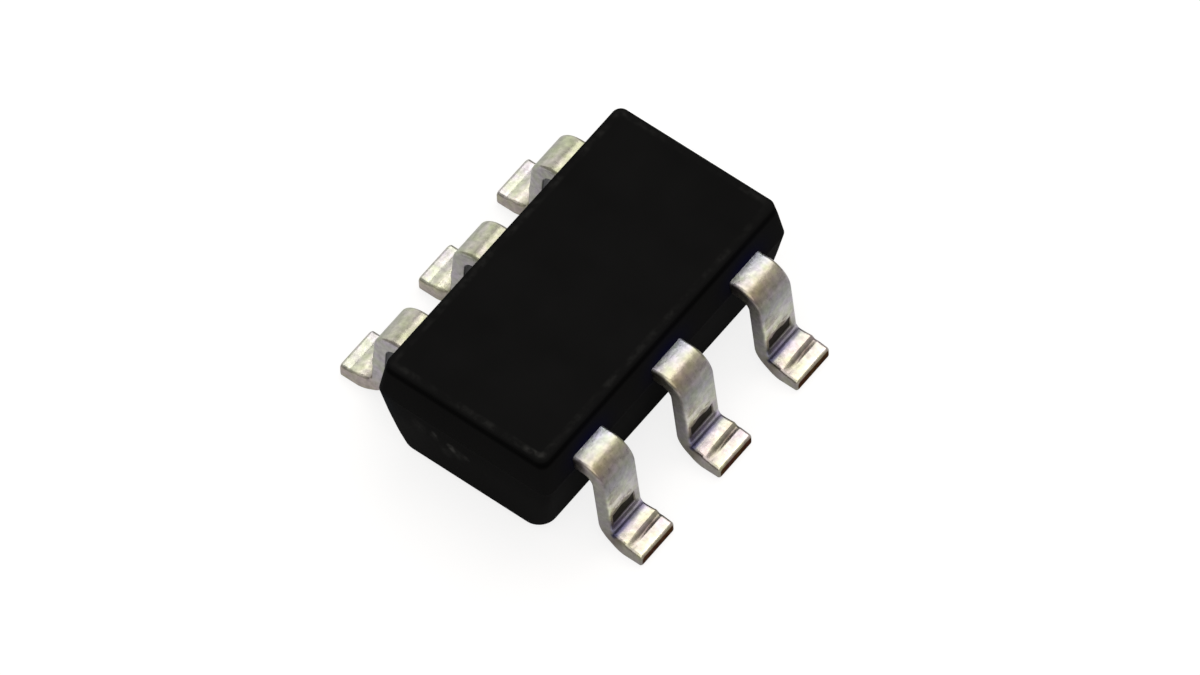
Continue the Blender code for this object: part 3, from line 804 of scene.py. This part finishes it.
# %% Tones of the tin, with painted light and shade
# painted light and shade of the near leads: bright rows are painted highlights, tan rows their fall-off
# on the bends, dark rows painted shade
NEAR_TONES_WITH_PAINTED_LIGHT = (              # travelled length, then the tone at the lead's -X and +X edges
    (0.80, "#CECED0", "#D0D8E4"),
    (0.84, "#BCBAB2", "#BEC4CA"),
    (0.88, "#B4B2A4", "#B2B6B4"),
    (0.91, "#C6BEAA", "#BCBAA6"),
    (0.94, "#BFAE98", "#BCBBA6"),
    (0.97, "#A6988C", "#B4B2AB"),
    (1.00, "#B2A8A2", "#C4C2BF"),
    (1.04, "#8C8884", "#A6A5A2"),
    (1.06, "#8F8F8C", "#A4A4A4"),
    (1.13, "#A8AAA8", "#AEAFAF"),
    (1.23, "#D8D8CA", "#BDBDBD"),
    (1.29, "#FAF8EA", "#BEBEBE"),
    (1.37, "#FFFDEA", "#C6C4C0"),
    (1.41, "#C8C2AC", "#C2C0BC"),
    (1.52, "#504C56", "#C4C0C0"),
    (1.57, "#9A98B2", "#DAD4E0"),
    (1.62, "#84829E", "#CCC6D6"),
    (1.66, "#4A4862", "#A09CB0"),
    (1.70, "#7C7A88", "#8E8C94"),
    (1.72, "#CEC8C4", "#BDBBBE"),
    (1.76, "#D6CEC4", "#C4BEB6"),
    (1.80, "#CCC4B6", "#C4BCB0"),
    (1.90, "#BEBAAC", "#B8B2B4"),
    (1.97, "#E6E1CA", "#DEDACE"),
    (1.98, "#A09480", "#A09480"),
)
# the far leads' own table, painted lighter, with bright painted highlights on the feet
FAR_TONES_WITH_PAINTED_LIGHT = (
    (0.80, "#B6B4A2", "#B6B4A2"),
    (0.88, "#B9B8A8", "#BAB9AA"),
    (0.92, "#C2C2B0", "#C4C4B4"),
    (0.96, "#BCBEAE", "#BFC1B0"),
    (1.02, "#AEB0A4", "#B0B2A6"),
    (1.08, "#A6A8A0", "#AAACA2"),
    (1.30, "#B0B1A2", "#BCBEA8"),
    (1.60, "#A29E90", "#A8A492"),
    (1.70, "#C8C3B2", "#C4C2B8"),
    (1.76, "#FAF8E8", "#E4E4DC"),
    (1.82, "#F2EFDA", "#E0E0D8"),
    (1.89, "#DADACE", "#D2D2CE"),
    (1.93, "#BEBEB8", "#BCBCB8"),
    (1.97, "#C2C2BC", "#C0C0BE"),
    (1.98, "#A09480", "#A09480"),
)
# painted shade in the sunk patch
PATCH_SHADE_TONE = "#232014"
# painted shade in the groove
GROOVE_SHADE_TONE = "#5C5048"
# painted shade in the crease
CREASE_SHADE_TONE = "#403E5C"
CREASE_SHARE = 0.62         # how much of that tone the middle of the crease has
CREASE_LEAN = 0.30          # and how much more its -X edge has, and its +X edge less
CUT_TONE = "#6A5C54"
CUT_LOW_TONE = "#8C8074"    # what the cut end still shines at low angles
NEAR_CUT_START = 0.50       # how far the toe's edge has turned over where the cut face starts
FAR_CUT_START = 0.70
CUT_SOFTNESS = 0.25
# painted shade on the underside of the leads
UNDERSIDE_SHADE_TONE = "#3E3E46"
# painted shade on the near leads' side faces, darkest at the heel
NEAR_SIDE_SHADED_TONES = (         # travelled length and tone of the side faces
    (0.90, "#A09A92"),
    (1.30, "#9A9896"),
    (1.58, "#94908C"),
    (1.72, "#746C60"),
    (1.84, "#9A958E"),
)
# the far leads' side faces are painted lighter
FAR_SIDE_LIT_TONES = (
    (0.90, "#B4B2B0"),
    (1.50, "#B4B2B0"),
    (1.65, "#B4ACA0"),
)


def tones_along(travelled, rows, column):
    """One column of a list of places and tones, blended evenly between neighbouring rows."""
    channels = np.array([linear(row[column])[:3] for row in rows]).T
    places = [row[0] for row in rows]
    return np.stack([np.interp(travelled, places, channel) for channel in channels], axis=-1)


def lead_tones(near, travelled, across, side, side_face, top, cut_face):
    """The base colour of each point: the tone of its place and side, with its painted light and shade,
    and on top of that the painted light and shade of the underside, sides, patch, groove and crease, and
    the cut end's own tone.

    Between two rows, and from edge to edge, the tones blend evenly. The top runs from 1 on the
    upper face to 0 on the underside.
    """
    rows = NEAR_TONES_WITH_PAINTED_LIGHT if near else FAR_TONES_WITH_PAINTED_LIGHT
    low = tones_along(travelled, rows, 1)
    share = (side[..., None] + 1) / 2
    colour = low + share * (tones_along(travelled, rows, 2) - low)
    sides = tones_along(travelled, NEAR_SIDE_SHADED_TONES if near else FAR_SIDE_LIT_TONES, 1)
    on_top = (top > 0.9) * np.ones_like(across)
    pressed_share = 1.0 if near else FAR_MARKS
    # painted shade in the crease, darker towards the -X side
    crease_shade = hump(travelled, CREASE, 0.7) * (CREASE_SHARE - CREASE_LEAN * side)
    # painted shade of the underside, the sides, the patch, the groove and the crease, then the cut end's
    # own copper
    marks = (
        ((top < 0.1) * (1 - side_face), linear(UNDERSIDE_SHADE_TONE)[:3]),
        (side_face, sides),
        (on_top * patch_shape(travelled, across), linear(PATCH_SHADE_TONE)[:3]),
        (on_top * groove_shape(travelled, side) * pressed_share, linear(GROOVE_SHADE_TONE)[:3]),
        (on_top * crease_shade * pressed_share, linear(CREASE_SHADE_TONE)[:3]),
        (cut_face, linear(CUT_TONE)[:3]),
    )
    for mask, tone in marks:
        colour = colour + mask[..., None] * (np.array(tone) - colour)
    return np.concatenate([colour, np.ones((*across.shape, 1))], axis=-1)


# %% Surface of a lead
SIDE_FACE_FROM = 0.5        # share of a rounded edge that still counts as top or underside


def lead_surface(with_paddle, turn):
    """The skin of a lead that runs towards -Y over X = 0, with what its material needs to know.

    The turn is 1, or -1 for a lead that will be turned half round, whose -X side becomes its +X side.
    Each point is a place on the middle plane plus its lift square to the plane: the lift's sine of
    the slope goes outwards, and its cosine goes up.
    """
    places, widths, downsets = inner_plan(with_paddle)
    travelled = lead_stations(places)[:, None]
    a, outwards, top, upwards = section_terms().T
    reach, height, slope = path_points(runs, travelled)
    height = height - np.interp(travelled, places, downsets)
    end = np.clip((travelled - (TOTAL - TOE_ROUND)) / TOE_ROUND, 0, 1)
    rounding = 1 - np.sqrt(1 - end ** 2)
    half_width = np.interp(travelled, places, widths) - TOE_ROUND * rounding
    half_width = half_width + FOOT_SPREAD * np.interp(travelled, (CREASE[0], RIDGE[1]), (0, 1))
    edge = np.where(top > 0.5, TOP_EDGE, UNDER_EDGE)
    across = a * (half_width - edge) + outwards * edge
    side = turn * across / np.abs(across).max(axis=1, keepdims=True)
    near = turn > 0
    over = LEAD_THICKNESS / 2 - TOE_ROUND * rounding + pressed(travelled, across, side, near)
    under = TOE_UNDER_ROUND * rounding - LEAD_THICKNESS / 2
    lift = top * over + (1 - top) * under + upwards * edge
    y = -(reach + lift * np.sin(slope))
    z = height + lift * np.cos(slope)
    everywhere = np.ones_like(across)
    cut_start = NEAR_CUT_START if near else FAR_CUT_START
    cut_face = ramp(rounding - cut_start, CUT_SOFTNESS) * everywhere
    side_face = ramp(np.abs(outwards) - SIDE_FACE_FROM, 1 - SIDE_FACE_FROM) * everywhere
    tones = lead_tones(near, travelled, across, side, side_face, top, cut_face)
    facts = {"travelled": travelled * everywhere, "across": across, "cut_face": cut_face}
    return np.stack([across, y, z], axis=-1), facts, tones


ring_count, ring_points = lead_surface(False, 1)[0].shape[:2]
print("a lead has", ring_count, "rings of", ring_points, "points")

# %% [markdown]
# ## What tin-plated copper looks like
# The strip is plated with matte tin after moulding: a soft silver-grey metal, a little warm, with
# a satin shine. Fine streaks run along it from the forming tool. The lead is then trimmed to
# length, so the end face is bare copper alloy, sheared rough, which goes brown and shines little
# even at low angles. Metals keep the default IOR. The grain of matte tin is about 0.003 mm and is
# drawn at 0.02 mm.

# %% Material of the leads
TIN_GRAIN_MM = 0.02
TIN_MOTTLE_MM = 0.045
TIN_CLOUD_MM = 0.10
STREAK_ACROSS_MM = 0.018
STREAK_ALONG_MM = 0.25
TIN_GRAIN_DEPTH_MM = 0.0006
TIN_DENT_DEPTH_MM = 0.003
CLOUD_TINTS = ("#F3F8E8", "#F8F2FE")
ROUGHNESS_RANGE = (0.24, 0.38)


def tin_plated_copper():
    """Satin tin in its tones, which carry painted light and shade, with cool and warm clouds, grain,
    dents and streaks.
    """
    material, tree, shader = new_material("tin_plated_copper", Metallic=1.0, Roughness=0.3)
    place = add_node(tree, "TexCoord").outputs["Object"]
    cloud = spread(tree, noise(tree, place, TIN_CLOUD_MM), 0.35, 0.65)
    grain = noise(tree, place, TIN_GRAIN_MM, 3.0, 0.6)
    along = calculate(tree, "DIVIDE", read(tree, "travelled"), STREAK_ALONG_MM)
    sideways = calculate(tree, "DIVIDE", read(tree, "across"), STREAK_ACROSS_MM)
    lane = add_node(tree, "CombineXYZ", None, {0: sideways, 1: along}).outputs[0]
    streaks = add_node(tree, "TexNoise", None,
                       {"Vector": lane, "Scale": 1.0, "Detail": 2.0}).outputs["Fac"]
    mottle = spread(tree, noise(tree, place, TIN_MOTTLE_MM, 2.0), 0.3, 0.7, 0.82, 1.16)
    tint = blend_colour(tree, cloud, linear(CLOUD_TINTS[0]), linear(CLOUD_TINTS[1]))
    shade = spread(tree, calculate(tree, "ADD", grain, streaks), 0.7, 1.3, 0.93, 1.06)
    shade = calculate(tree, "MULTIPLY", shade, mottle)
    colour = blend_colour(tree, 1.0, read(tree, "tone", "Color"), tint, "MULTIPLY")
    shaded = add_node(tree, "VectorMath", {"operation": "SCALE"}, {0: colour, 3: shade}).outputs[0]
    tree.links.new(shaded, shader.inputs["Base Color"])
    low_angles = blend_colour(tree, read(tree, "cut_face"), (1, 1, 1, 1), linear(CUT_LOW_TONE))
    tree.links.new(low_angles, shader.inputs["Specular Tint"])
    tree.links.new(spread(tree, grain, 0.2, 0.8, *ROUGHNESS_RANGE), shader.inputs["Roughness"])
    dents = add_node(tree, "Bump", None, {"Height": noise(tree, place, TIN_CLOUD_MM),
                                          "Distance": TIN_DENT_DEPTH_MM * MM, "Strength": 1.0})
    bump = add_node(tree, "Bump", None, {"Height": grain, "Distance": TIN_GRAIN_DEPTH_MM * MM,
                                         "Strength": 1.0, "Normal": dents.outputs["Normal"]})
    tree.links.new(bump.outputs["Normal"], shader.inputs["Normal"])
    return material


# %% Make the six leads
LEAD_FLAT_FROM = 50.0       # degrees; the pressed marks have steeper walls than the block's rims
tin = tin_plated_copper()
for name in LEAD_NODES:
    low, high = (np.array(corner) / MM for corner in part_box(name))
    far_side = high[1] > -low[1]
    rings, facts, tones = lead_surface("paddle" in name, -1 if far_side else 1)
    if far_side:
        rings = rings * np.array([-1, -1, 1])
    rings = rings + np.array([(low[0] + high[0]) / 2, 0, 0])
    lead = skin("tinned_" + name, rings, LEAD_FLAT_FROM)
    for fact, values in facts.items():
        store(lead, fact, values)
    store_colour(lead, "tone", tones)
    dress(lead, name, tin)
print("six leads of", len(lead.data.polygons), "faces")

# %% [markdown]
# ## The pieces inside
# The die is a block of polished silicon on a bed of silver-filled adhesive, joined to the leads by
# gold wires a fortieth of a millimetre thick. The epoxy hides them all, and their CAD shapes are
# already right, so they only get a finish.

# %% Materials of the inner pieces
DIE_BLOCK_MM = 0.09
FLAKE_MM = 0.015
GOLD_CLOUD_MM = 0.05


def silver_adhesive():
    """Grey paste full of silver flakes, cured dull."""
    material, tree, shader = new_material("silver_filled_adhesive", Metallic=0.35, Roughness=0.6)
    place = add_node(tree, "TexCoord").outputs["Object"]
    flakes = spread(tree, noise(tree, place, FLAKE_MM, 4.0), 0.4, 0.6)
    colour = blend_colour(tree, flakes, linear("#8E8E8C"), linear("#C9C9C6"))
    tree.links.new(colour, shader.inputs["Base Color"])
    return material


def patterned_silicon():
    """Polished silicon whose top carries blocks of circuitry between metal lines."""
    material, tree, shader = new_material("polished_silicon", Metallic=0.7, Roughness=0.18)
    place = add_node(tree, "TexCoord").outputs["Object"]
    blocks = add_node(tree, "TexBrick", {"offset": 0.35, "squash": 1.4, "squash_frequency": 3},
                      {"Vector": place, "Scale": 1 / (DIE_BLOCK_MM * MM), "Mortar Size": 0.05,
                       "Color1": linear("#5B5F78"), "Color2": linear("#7A6C80"),
                       "Mortar": linear("#B9AE93"), "Brick Width": 1.0, "Row Height": 0.8})
    tree.links.new(blocks.outputs["Color"], shader.inputs["Base Color"])
    return material


def drawn_gold():
    """Bright drawn gold, with a faint change of tone along the wire."""
    material, tree, shader = new_material("drawn_gold", Metallic=1.0, Roughness=0.22)
    place = add_node(tree, "TexCoord").outputs["Object"]
    cloud = noise(tree, place, GOLD_CLOUD_MM)
    colour = blend_colour(tree, cloud, linear("#E2B24C"), linear("#F4CF7A"))
    tree.links.new(colour, shader.inputs["Base Color"])
    return material


def refinish(name, material):
    """Give a CAD node a new material and leave its mesh alone."""
    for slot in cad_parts[name].material_slots:
        slot.material = material


refinish("die_attach", silver_adhesive())
refinish("silicon_die", patterned_silicon())
gold = drawn_gold()
wires = [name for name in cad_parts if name.startswith("bond_wire")]
for name in wires:
    refinish(name, gold)
print("inner pieces:", 2 + len(wires))

# %% [markdown]
# ## Floor and light
# The photograph was cut out on white. A plain pale floor stands in for it: it glows a little for
# what the camera sees, directly or in the metal, so that it comes out white and still takes a soft
# shadow. In the metal that glow fades close to the chip, because a real table is in the chip's own
# shade there, and the bends need that darkness to look round. Satin metal shows its surroundings,
# so the light is a soft box high on the far side, which fills every upward face, with a dim room
# and weaker boxes round it.

# %% Floor
FLOOR_HALF_MM = 1500.0
FLOOR_GLOW = 0.80
FLOOR_DROP_MM = 0.0005
FLOOR_TONE = "#908F8E"
SHADE_SQUEEZE = (0.6, 1.0, 1.0)         # the shade is longer in X, like the chip
SHADE_RADII_MM = (0.72, 1.2)
SHADE_GLOW = 0.08                       # share of the glow that metal sees in the chip's shade
OPEN_GLOW = 0.64                        # and beyond it


def pale_floor():
    """A dull pale surface that adds a glow for camera, glossy and transmission rays."""
    material = bpy.data.materials.new("pale_card")
    material.use_nodes = True
    tree = material.node_tree
    tree.nodes.remove(tree.nodes["Principled BSDF"])
    path = add_node(tree, "LightPath")
    place = add_node(tree, "TexCoord").outputs["Object"]
    squeezed = add_node(tree, "VectorMath", {"operation": "MULTIPLY"}, {0: place, 1: SHADE_SQUEEZE})
    distance = add_node(tree, "VectorMath", {"operation": "LENGTH"}, {0: squeezed.outputs[0]})
    open_air = spread(tree, distance.outputs["Value"], SHADE_RADII_MM[0] * MM, SHADE_RADII_MM[1] * MM,
                      SHADE_GLOW, OPEN_GLOW)
    in_metal = calculate(tree, "MULTIPLY", path.outputs["Is Glossy Ray"], open_air)
    seen = calculate(tree, "MAXIMUM", path.outputs["Is Camera Ray"], in_metal)
    seen = calculate(tree, "MAXIMUM", seen, path.outputs["Is Transmission Ray"])
    dull = add_node(tree, "BsdfDiffuse", None, {"Color": linear(FLOOR_TONE)})
    glow = add_node(tree, "Emission", None, {"Color": (1, 1, 1, 1),
                                             "Strength": calculate(tree, "MULTIPLY", seen, FLOOR_GLOW)})
    both = add_node(tree, "AddShader", None, {0: dull.outputs[0], 1: glow.outputs[0]})
    tree.links.new(both.outputs[0], tree.nodes["Material Output"].inputs["Surface"])
    return material


def make_floor():
    """One large square just under the feet."""
    side = FLOOR_HALF_MM * MM
    low = -FLOOR_DROP_MM * MM
    mesh = bpy.data.meshes.new("floor")
    mesh.from_pydata([(-side, -side, low), (side, -side, low), (side, side, low), (-side, side, low)],
                     [], [(0, 1, 2, 3)])
    floor = bpy.data.objects.new("floor", mesh)
    bpy.context.scene.collection.objects.link(floor)
    mesh.materials.append(pale_floor())


make_floor()

# %% Lamps and room
LAMP_DISTANCE_MM = 180.0
ROOM_TONE = "#A8A4A0"
ROOM_STRENGTH = 0.85
SOFT_BOXES = (              # name, azimuth and elevation in degrees, width in mm, radiance, colour
    ("overhead_box", 103, 64, 135, 2.2, "#FFFCF8"),
    ("far_box", 152, 18, 170, 0.8, "#F6F8F4"),
    ("camera_side_fill", -52, 57, 190, 1.1, "#FFFFFF"),
    ("front_side_box", 35, 40, 130, 0.25, "#FFF8EE"),
)


def soft_box(name, azimuth, elevation, size_mm, radiance, colour):
    """A square lamp that faces the chip and that the camera doesn't see.

    Its energy is radiance times pi times its area.
    """
    data = bpy.data.lights.new(name, "AREA")
    data.shape = "SQUARE"
    data.size = size_mm * MM
    data.energy = radiance * math.pi * data.size ** 2
    data.color = linear(colour)[:3]
    lamp = bpy.data.objects.new(name, data)
    bpy.context.scene.collection.objects.link(lamp)
    towards = direction(math.radians(azimuth), math.radians(elevation))
    lamp.location = towards * LAMP_DISTANCE_MM * MM
    lamp.rotation_mode = "QUATERNION"
    lamp.rotation_quaternion = towards.to_track_quat("Z", "Y")
    lamp.visible_camera = False


def light_room(colour, strength):
    """An even dim room all round."""
    world = bpy.data.worlds.new("room")
    world.use_nodes = True
    background = world.node_tree.nodes["Background"]
    background.inputs["Color"].default_value = linear(colour)
    background.inputs["Strength"].default_value = strength
    bpy.context.scene.world = world


for settings in SOFT_BOXES:
    soft_box(*settings)
light_room(ROOM_TONE, ROOM_STRENGTH)
bpy.context.scene.view_settings.view_transform = "Standard"
print("lamps:", len(SOFT_BOXES))
